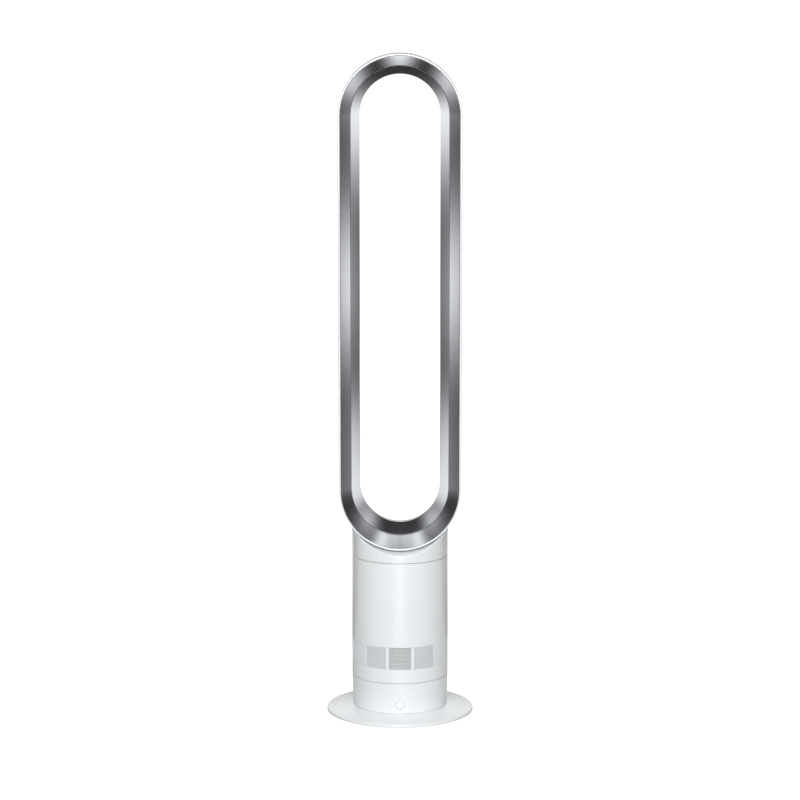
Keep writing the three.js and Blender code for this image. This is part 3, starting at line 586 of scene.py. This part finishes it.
def saddle(x):
    return LOOP_LOW - math.sqrt(SADDLE_RADIUS ** 2 - x ** 2)


def collar_rings():
    """(radius, share of the way up, drop below the saddle, shift) of every ring."""
    rings = [(COLUMN_RADIUS - 0.4 * MM, 0, 0, 0), (COLUMN_RADIUS - 0.12 * MM, 0, -0.12 * MM, 0),
             (COLUMN_RADIUS, 0, -0.4 * MM, 0)]
    for k in range(1, 9):
        rings.append((COLUMN_RADIUS, k / 8, EDGE, 0))
    for k in range(1, 5):
        angle = math.pi / 2 * k / 4
        rings.append((COLUMN_RADIUS - EDGE * (1 - math.cos(angle)), 1,
                      EDGE * (1 - math.sin(angle)), 0))
    for k in range(1, 13):
        share = k / 12
        radius = (COLUMN_RADIUS - EDGE) * (1 - share) + DUCT_RADIUS * share
        rings.append((radius, 1, 0, DUCT_SHIFT * share))
    return rings


bpy.ops.object.select_all(action="DESELECT")
bpy.ops.mesh.primitive_circle_add(
    vertices=240, radius=COLUMN_RADIUS, fill_type="NOTHING", location=(0, 0, COLLAR_LOW))
collar = bpy.context.object
rename(collar, "neck_saddle")
bpy.ops.object.transform_apply(location=True)
bpy.ops.object.mode_set(mode="EDIT")
bpy.ops.mesh.select_all(action="SELECT")
directions = [v.co.xy.normalized() for v in bmesh.from_edit_mesh(collar.data).verts]
for number, (radius, rise, drop, shift) in enumerate(collar_rings()):
    if number:
        bpy.ops.mesh.extrude_edges_move(TRANSFORM_OT_translate={"value": (0, 0, MM)})
    ring = [v for v in bmesh.from_edit_mesh(collar.data).verts if v.select]
    ring.sort(key=lambda v: v.index)
    for v, direction in zip(ring, directions):
        x, y = direction * radius
        high = saddle(x) - drop
        low = COLLAR_LOW - drop if rise == 0 else COLLAR_LOW
        v.co = (x, y + shift, low + (high - low) * rise)
    bmesh.update_edit_mesh(collar.data)
bpy.ops.mesh.select_all(action="SELECT")
bpy.ops.mesh.normals_make_consistent(inside=False)
bpy.ops.object.mode_set(mode="OBJECT")
outward = sum(f.normal.x * f.center.x + f.normal.y * f.center.y for f in collar.data.polygons)
if outward < 0:
    bpy.ops.object.mode_set(mode="EDIT")
    bpy.ops.mesh.select_all(action="SELECT")
    bpy.ops.mesh.flip_normals()
    bpy.ops.object.mode_set(mode="OBJECT")
apply_modifier(collar, "SOLIDIFY", thickness=COLLAR_WALL, offset=-1)
bpy.ops.object.shade_smooth_by_angle(angle=math.radians(40))
print(collar.name, len(collar.data.polygons), "faces")
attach(collar, "upper")
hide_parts("neck_collar")

# %% [markdown]
# ## Carrying a section round the loop
# The loop is two straight runs joined by two half circles. Its three skins share one path: the
# outline is drawn at the right, pulled up, spun over the top, pulled down and spun under the
# bottom. The straight runs need only a few steps, and the arcs get many.

# %% Loop helper
ARC_STEPS = 72


def carry_round(name, path):
    """A closed skin from (inset, depth) points in millimetres, carried round the loop."""
    points = [(LOOP_RADIUS - inset * MM, depth * MM, LOOP_LOW) for inset, depth in path]
    piece = draw_outline(name, points)
    straight = LOOP_HIGH - LOOP_LOW
    steps = 8
    for centre, way in ((LOOP_HIGH, 1), (LOOP_LOW, -1)):
        for _ in range(steps):
            bpy.ops.mesh.extrude_edges_move(
                TRANSFORM_OT_translate={"value": (0, 0, way * straight / steps)})
        bpy.ops.mesh.spin(
            steps=ARC_STEPS, angle=math.pi, center=(0, 0, centre), axis=(0, 1, 0))
    return close_up(piece)


# %% [markdown]
# ## White outer shell of the loop
# The shell is the white back and side of the loop. In front it ends in a thin rounded lip that
# frames the silver. At the back it turns over a generous curve and meets the inner ring. Its
# section is a smooth run through a few points, closed by a parallel inner wall. The opening for
# the air duct is cut through the bottom afterwards.

# %% Loop shell
LIP = LOOP_FRONT / MM
BACK = LOOP_BACK / MM
outer_run = [(max(inset, 0), depth) for inset, depth in flowing([
    (0.75, LIP + 10), (0.4, -20), (0.1, -5), (0, 10), (0.9, 26), (3.3, 39), (7.8, 48.5),
    (13.8, 53), (20, BACK), (26, 51.5), (30, 46.5), (31.4, 40.6),
], steps=4)]
lip_run = soften([
    (0.75, LIP + 10, 0), (1.3, LIP, 1.0), (3.6, LIP, 0.8), (3.6, LIP + 5, 0),
], steps=5)[1:]
inner_run = flowing([
    (2.7, -10), (2.7, 18), (5.6, 37.8), (9.6, 46.8), (14.4, 50.4), (19.6, BACK - 2.6),
    (24.6, 48.9), (28, 44.5), (29.2, 40.6),
], steps=2)
shell = carry_round("loop_body", list(reversed(outer_run)) + lip_run + inner_run)
duct_hole = cylinder(DUCT_RADIUS, 60 * MM, (0, DUCT_SHIFT, LOOP_LOW - LOOP_RADIUS), vertices=96)
carve(shell, duct_hole)
close_up(shell)
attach(shell, "upper")
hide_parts("loop_shell")

# %% [markdown]
# ## Silver rings
# Two satin silver slopes face inwards. The outer one runs from the lip down to a thin air slit,
# and the inner one starts behind the slit and runs to the narrowest place. Both are straight in
# section, so light lies on each as one even tone across its width and only changes along the
# loop. Their edges get tiny radii, because a real edge always catches some light.

# %% Outer and inner silver ring
outer_ring = carry_round("front_slope", soften([
    (3.9, LIP + 0.4, 0.25),
    (18.7, -9.6, 0.3),
    (16.5, -9.6, 0.3),
    (3.9, LIP + 5.6, 0.3),
], steps=4))
inner_ring = carry_round("throat_slope", soften([
    (19.2, -8.6, 0.3),
    (32, 31, 9),
    (31.4, 40.2, 0.2),
    (29.7, 40.2, 0.2),
    (30, 31.6, 4),
    (18.4, -7, 0.3),
], steps=6))
for ring, node in ((outer_ring, "outer_ring"), (inner_ring, "inner_ring")):
    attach(ring, "upper")
    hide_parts(node)

# %% [markdown]
# ## Writing finishes as sums
# A finish is a graph of nodes. Drawing a graph in code gets long, so one small class wraps a
# value that changes over the surface and lets plus, minus and times build the nodes. All other
# nodes come from one method that sets the node up first and then feeds its inputs.

# %% Node helpers


class Varying:
    """A number that changes over a surface."""

    def __init__(self, finish, socket):
        self.finish = finish
        self.socket = socket

    def math(self, operation, *values):
        node = self.finish.node("ShaderNodeMath", {"operation": operation}, dict(enumerate(values)))
        return Varying(self.finish, node.outputs[0])

    def __add__(self, other):
        return self.math("ADD", self, other)

    __radd__ = __add__

    def __sub__(self, other):
        return self.math("SUBTRACT", self, other)

    def __rsub__(self, other):
        return self.math("SUBTRACT", other, self)

    def __mul__(self, other):
        return self.math("MULTIPLY", self, other)

    __rmul__ = __mul__

    def __truediv__(self, other):
        return self.math("DIVIDE", self, other)


class Finish:
    """One material with a principled shader and short ways to feed it."""

    def __init__(self, name):
        self.material = bpy.data.materials.new(name)
        self.material.use_nodes = True
        self.tree = self.material.node_tree
        self.shader = self.tree.nodes["Principled BSDF"]
        self.place = self.node("ShaderNodeTexCoord").outputs["Object"]

    def feed(self, socket, value):
        if isinstance(value, Varying):
            self.tree.links.new(value.socket, socket)
        elif isinstance(value, bpy.types.NodeSocket):
            self.tree.links.new(value, socket)
        else:
            socket.default_value = value

    def node(self, kind, settings=None, values=None):
        node = self.tree.nodes.new(kind)
        for key, value in (settings or {}).items():
            if key == "stops":
                elements = node.color_ramp.elements
                for i, (position, colour) in enumerate(value):
                    stop = elements[i] if i < 2 else elements.new(position)
                    stop.position = position
                    stop.color = colour
            else:
                setattr(node, key, value)
        for key, value in (values or {}).items():
            self.feed(node.inputs[key], value)
        return node

    def surface(self, **values):
        for key, value in values.items():
            self.feed(self.shader.inputs[key.replace("_", " ")], value)

    def stretched(self, scale):
        return self.node("ShaderNodeMapping", {}, {"Vector": self.place, "Scale": scale}).outputs[0]

    def noise(self, scale, detail=2.0, roughness=0.5, vector=None):
        values = {"Vector": vector or self.place, "Scale": scale, "Detail": detail,
                  "Roughness": roughness}
        return Varying(self, self.node("ShaderNodeTexNoise", {}, values).outputs[0])

    def cells(self, scale, feature="F1", vector=None):
        node = self.node("ShaderNodeTexVoronoi", {"feature": feature},
                         {"Vector": vector or self.place, "Scale": scale})
        return Varying(self, node.outputs["Distance"])

    def ramp(self, value, *stops):
        node = self.node("ShaderNodeValToRGB", {"stops": stops}, {"Fac": value})
        return node.outputs["Color"]

    def blend(self, factor, first, second):
        node = self.node("ShaderNodeMix", {"data_type": "RGBA"}, {0: factor, 6: first, 7: second})
        return node.outputs[2]

    def bump(self, height, depth, strength=1.0):
        node = self.node("ShaderNodeBump", {}, {
            "Height": height, "Distance": depth, "Strength": strength})
        self.feed(self.shader.inputs["Normal"], node.outputs[0])


def axis(finish, name):
    node = finish.node("ShaderNodeSeparateXYZ", {}, {0: finish.place})
    return Varying(finish, node.outputs[name])


# %% [markdown]
# ## Gloss white plastic
# The body is moulded in hard white plastic with a polished skin. Real mouldings are never quite
# even: the polish has faint waves, and the colour drifts a little. Three noises do that. A large
# one moves the colour and the roughness by a hair, and two finer ones give the skin its waves.

# %% White plastic
white = Finish("gloss_white_plastic")
drift = white.noise(9.0, 3.0)
skin = white.noise(420.0, 2.0)
white.surface(
    Base_Color=white.blend(drift, (0.79, 0.815, 0.83, 1), (0.83, 0.85, 0.862, 1)),
    Roughness=0.20 + drift * 0.08 + skin * 0.03,
    IOR=1.5,
)
white.bump(white.noise(160.0, 3.0) * 0.7 + skin * 0.3, 0.02 * MM, 0.35)
print("finish:", white.material.name)

# %% [markdown]
# ## Satin silver
# The slopes of the loop are painted in a fine metallic silver and then polished to a satin.
# The paint shows hair-fine streaks that run along the loop and a soft grain of metal flakes.
# A noise squeezed to thin threads gives the streaks, and a fine cell pattern gives the flakes.

# %% Silver
silver = Finish("satin_silver")
streak = silver.noise(1.0, 3.0, 0.6, silver.stretched((700, 700, 22)))
flake = silver.cells(2600.0)
cloud = silver.noise(14.0, 2.0)
tone = streak * 0.5 + flake * 0.3 + cloud * 0.2
silver.surface(
    Base_Color=silver.ramp(
        tone, (0.15, (0.69, 0.71, 0.75, 1)), (0.85, (0.83, 0.85, 0.89, 1))),
    Roughness=0.09 + streak * 0.05 + cloud * 0.02,
    Metallic=1.0,
)
silver.bump(streak * 0.6 + flake * 0.4, 0.006 * MM, 0.25)
print("finish:", silver.material.name)

# %% [markdown]
# ## Plain plastics, rubber and foam
# Hidden structure is moulded in plastic with a spark-eroded grain, which scatters light. Each of
# them shares the same grain with its own colour and scale. Rubber is darker and duller, with
# dust in its pores. Foam is all pores, so a cell pattern drives its colour and its bump; the
# hollow of each pore is painted darker, as shade.

# %% Plastics, rubber, foam


def grained(name, dark, light, rough, grain, depth):
    finish = Finish(name)
    field = finish.noise(grain, 4.0, 0.6)
    patch = finish.noise(18.0, 2.0)
    finish.surface(
        Base_Color=finish.ramp(field * 0.6 + patch * 0.4, (0.3, dark), (0.7, light)),
        Roughness=rough + patch * 0.1 - field * 0.06,
    )
    finish.bump(field, depth * MM, 0.6)
    return finish


grey_plastic = grained(
    "grained_grey_plastic", (0.235, 0.24, 0.25, 1), (0.30, 0.305, 0.315, 1), 0.5, 1400.0, 0.03)
dark_plastic = grained(
    "grained_dark_plastic", (0.016, 0.016, 0.018, 1), (0.030, 0.030, 0.033, 1), 0.5, 1600.0, 0.03)
natural = grained(
    "natural_plastic", (0.70, 0.68, 0.60, 1), (0.80, 0.78, 0.71, 1), 0.42, 900.0, 0.02)
natural.surface(Subsurface_Weight=0.2, Subsurface_Scale=0.002)
rubber = grained(
    "soft_rubber", (0.012, 0.012, 0.012, 1), (0.035, 0.034, 0.033, 1), 0.78, 2200.0, 0.05)

foam = Finish("open_foam")
pore = foam.cells(420.0)
# The dark centre of each cell is painted shade in the hollow of its pore.
foam.surface(
    Base_Color=foam.ramp(pore, (0.1, (0.016, 0.016, 0.018, 1)), (0.75, (0.10, 0.10, 0.105, 1))),
    Roughness=0.96 - pore * 0.06,
)
foam.bump(pore, 0.9 * MM, 1.0)
print("finishes:", len(bpy.data.materials))

# %% [markdown]
# ## Metals inside
# The weight is rolled steel with mill scale, dull and mottled. Screws, shaft and bearings are
# zinc plated, bright with thin turning lines. The windings are lacquered copper, laid wire by
# wire, so a wave gives the wires, and the gaps between them are painted dark as shade.

# %% Metals
weight_steel = Finish("rolled_steel")
scale_spots = weight_steel.noise(60.0, 6.0, 0.65)
weight_steel.surface(
    Base_Color=weight_steel.ramp(
        scale_spots, (0.35, (0.15, 0.15, 0.155, 1)), (0.7, (0.36, 0.36, 0.37, 1))),
    Roughness=0.62 - scale_spots * 0.25,
    Metallic=1.0,
)
weight_steel.bump(scale_spots, 0.08 * MM, 0.5)

bright_steel = Finish("plated_steel")
turning = bright_steel.noise(1.0, 2.0, 0.5, bright_steel.stretched((90, 90, 3500)))
bloom = bright_steel.noise(220.0, 3.0)
bright_steel.surface(
    Base_Color=bright_steel.ramp(
        bloom, (0.3, (0.56, 0.57, 0.59, 1)), (0.7, (0.70, 0.70, 0.68, 1))),
    Roughness=0.22 + turning * 0.14,
    Metallic=1.0,
)
bright_steel.bump(turning, 0.02 * MM, 0.4)

winding = Finish("lacquered_copper")
wires = Varying(winding, winding.node(
    "ShaderNodeTexWave", {"bands_direction": "Z"},
    {"Vector": winding.place, "Scale": 620.0, "Distortion": 1.2, "Detail": 2.0}).outputs[1])
# The dark low part of the wave is painted shade in the gaps between the wires.
winding.surface(
    Base_Color=winding.ramp(
        wires, (0.1, (0.06, 0.02, 0.008, 1)), (0.6, (0.62, 0.27, 0.12, 1))),
    Roughness=0.42 - wires * 0.14,
    Metallic=0.2 + wires * 0.75,
)
winding.bump(wires, 0.25 * MM, 0.9)

# %% [markdown]
# ## Circuit board
# A board is green lacquer over copper tracks. A cell pattern measured in straight steps gives
# blocks with narrow lines between them, which read as tracks. The lines stand a little proud,
# and the lacquer over them is lighter and smoother.

# %% Circuit board
board = Finish("circuit_board")
blocks = board.node(
    "ShaderNodeTexVoronoi", {"feature": "F1", "distance": "CHEBYCHEV"},
    {"Vector": board.place, "Scale": 260.0})
edge = Varying(board, blocks.outputs["Distance"])
track = edge.math("GREATER_THAN", edge, 0.42)
weave = board.noise(1800.0, 2.0)
board.surface(
    Base_Color=board.blend(track, (0.012, 0.09, 0.035, 1), (0.035, 0.20, 0.075, 1)),
    Roughness=0.36 - track * 0.10 + weave * 0.05,
)
board.bump(track * 0.8 + weave * 0.2, 0.04 * MM, 0.6)

# %% [markdown]
# ## Dark weave on the shade sleeve
# The sleeve behind the holes is a fine dark weave, painted shade for the dark inside of the column.
# Two waves at right angles, one up and one round, give crossing threads, and the darker gaps
# between the threads are painted shade too.

# %% Shade sleeve finish
shade_sleeve_finish = Finish("dark_weave_shade_sleeve")
threads = [Varying(shade_sleeve_finish, shade_sleeve_finish.node(
    "ShaderNodeTexWave", {"bands_direction": way},
    {"Vector": shade_sleeve_finish.place, "Scale": 700.0}).outputs[1]) for way in ("Z", "DIAGONAL")]
crossing = threads[0].math("MAXIMUM", threads[0], threads[1])
shade_sleeve_finish.surface(
    Base_Color=shade_sleeve_finish.ramp(
        crossing, (0.2, (0.006, 0.006, 0.007, 1)), (0.9, (0.028, 0.029, 0.032, 1))),
    Roughness=0.85 - crossing * 0.15,
)
shade_sleeve_finish.bump(crossing, 0.1 * MM, 0.8)

# %% [markdown]
# ## Giving every part its finish
# The record says which finish each fixed node has. Shapes made in this lesson take the same
# finish as the node they stand for.

# %% Assign the finishes
SLOT_FINISH = {
    "white_shell": white,
    "silver_ring": silver,
    "grey_plastic": grey_plastic,
    "dark_plastic": dark_plastic,
    "natural_plastic": natural,
    "circuit_board": board,
    "weight_steel": weight_steel,
    "bright_steel": bright_steel,
    "winding": winding,
    "rubber": rubber,
    "foam": foam,
}


def wear(piece, finish):
    piece.data.materials.clear()
    piece.data.materials.append(finish.material)


for part in frame["record"]["subparts"]:
    wear(frame["nodes"][part["node"]], SLOT_FINISH[part["material_slot"]])
white_pieces = [foot, housing, button, column_low, column_high, band, collar, shell]
for piece in white_pieces:
    wear(piece, white)
for piece in (outer_ring, inner_ring):
    wear(piece, silver)
for piece in pads:
    wear(piece, rubber)
# The sleeve's dark weave is painted shade for the inside of the column.
wear(shade_sleeve, shade_sleeve_finish)
print("dressed:", len(frame["nodes"]) + len(white_pieces) + 2 + len(pads) + 1)

# %% [markdown]
# ## Studio
# The floor and the back are plain and pale. The floor glows a little, so that it stays white
# while the foot still leaves a soft shadow on it. A large soft light in front lifts the middle
# of the white column, and a wide one above lights the foot. A low strip, which only reflections
# see, lays a soft bright line down the middle of the column.

# %% Floor and lights


def add_floor():
    bpy.ops.object.select_all(action="DESELECT")
    bpy.ops.mesh.primitive_plane_add(size=30, location=(0, 0, -0.0005))
    floor = bpy.context.object
    rename(floor, "floor")
    bpy.ops.object.transform_apply(location=True)
    finish = Finish("pale_floor")
    shade = finish.noise(0.8, 2.0)
    seen = Varying(finish, finish.node("ShaderNodeLightPath").outputs["Is Camera Ray"])
    finish.surface(
        Base_Color=finish.blend(shade, (0.78, 0.78, 0.78, 1), (0.80, 0.80, 0.80, 1)),
        Emission_Color=seen * FLOOR_GLOW, Emission_Strength=1.0, Roughness=0.9)
    wear(floor, finish)
    floor.visible_glossy = False
    floor.visible_diffuse = False
    return floor


def add_light(name, place, target, width, height, power):
    data = bpy.data.lights.new(name, "AREA")
    data.shape = "RECTANGLE"
    data.size = width
    data.size_y = height
    data.energy = power
    light = bpy.data.objects.new(name, data)
    light.location = place
    light.rotation_euler = (Vector(target) - Vector(place)).to_track_quat("-Z", "Y").to_euler()
    light.visible_camera = False
    bpy.context.scene.collection.objects.link(light)
    return light


FLOOR_GLOW = 0.75
WORLD_LIGHT = 0.33
WORLD_MIRRORED = 0.68
WORLD_SEEN = 1.05
FRONT_POWER = 85.0
TOP_POWER = 29.0
STRIP_POWER = 4.6

add_floor()
front = add_light("front_soft", (0, -3.2, 1.3), (0, 0, 0.5), 1.0, 2.2, FRONT_POWER)
above = add_light("top_soft", (0, -0.3, 3.0), (0, 0, 0), 2.6, 2.6, TOP_POWER)
strip = add_light("low_strip", (0, -1.5, -0.13), (0, 0, 0.2), 0.7, 0.8, STRIP_POWER)
strip.visible_diffuse = False

# %% [markdown]
# ## Reflection card
# Polished metal shows its surroundings more than its own colour. Studios stand a card behind
# such an object, out of shot, so that the metal has soft bright and dark areas to mirror. This
# card is a dark plane that only reflections can see. Seven soft patches are painted on it, the
# same on the left and on the right. They are set one by one: move one, render, and see which part
# of the silver it lights. The dark card between them gives the silver its depth.

# %% Reflection card
CARD_DEPTH = 0.40
CARD_GREY = 0.02


def patch(across, up, x, z, wide, high, glow):
    """One soft patch of light on the card: brightest at x, z and fading out around it."""
    dx = (across - x) / wide
    dz = (up - z) / high
    far = dx * dx + dz * dz
    return far.math("POWER", math.e, far * -1) * glow


def add_card():
    bpy.ops.object.select_all(action="DESELECT")
    bpy.ops.mesh.primitive_plane_add(
        size=1.8, location=(0, CARD_DEPTH, 0.9), rotation=(math.pi / 2, 0, 0))
    card = bpy.context.object
    rename(card, "reflection_card")
    bpy.ops.object.transform_apply(location=True, rotation=True)
    finish = Finish("card_print")
    across = axis(finish, "X")
    across = across.math("ABSOLUTE", across)
    up = axis(finish, "Z")
    low_wide = patch(across, up, x=0.14, z=0.16, wide=0.18, high=0.12, glow=1.6)
    middle = patch(across, up, x=0.0, z=0.47, wide=0.09, high=0.08, glow=2.2)
    side_low = patch(across, up, x=0.27, z=0.33, wide=0.08, high=0.09, glow=0.75)
    side_high = patch(across, up, x=0.34, z=0.60, wide=0.09, high=0.14, glow=1.15)
    top_middle = patch(across, up, x=0.06, z=0.92, wide=0.15, high=0.10, glow=0.9)
    top_side = patch(across, up, x=0.25, z=0.90, wide=0.09, high=0.12, glow=0.85)
    corner = patch(across, up, x=0.44, z=1.06, wide=0.10, high=0.09, glow=4.5)
    glow = low_wide + middle + side_low + side_high + top_middle + top_side + corner + CARD_GREY
    finish.surface(
        Base_Color=(0, 0, 0, 1), Roughness=1.0, Specular_IOR_Level=0.0,
        Emission_Color=glow, Emission_Strength=1.0)
    wear(card, finish)
    card.visible_camera = False
    card.visible_diffuse = False
    card.visible_transmission = False
    card.visible_shadow = False
    return card


print("card:", add_card().name)

# %% [markdown]
# ## Surroundings
# Everything else around the fan is plain white. To the camera it is pure white. In reflections it
# is dimmer, so that the silver still reads as silver from every side, and as a light it is dimmer
# again, so that the round column keeps some shade at its sides.

# %% Surroundings
world = bpy.data.worlds.new("studio")
bpy.context.scene.world = world
world.use_nodes = True
tree = world.node_tree
background = tree.nodes["Background"]
background.inputs["Color"].default_value = (1, 1, 1, 1)
path = tree.nodes.new("ShaderNodeLightPath")
strength = WORLD_LIGHT
for ray, level in (("Is Glossy Ray", WORLD_MIRRORED), ("Is Camera Ray", WORLD_SEEN)):
    step = tree.nodes.new("ShaderNodeMath")
    step.operation = "MULTIPLY_ADD"
    tree.links.new(path.outputs[ray], step.inputs[0])
    step.inputs[1].default_value = level - WORLD_LIGHT
    if isinstance(strength, float):
        step.inputs[2].default_value = strength
    else:
        tree.links.new(strength, step.inputs[2])
    strength = step.outputs["Value"]
tree.links.new(strength, background.inputs["Strength"])
bpy.context.scene.view_settings.view_transform = "Standard"
print("lights:", front.name, above.name)
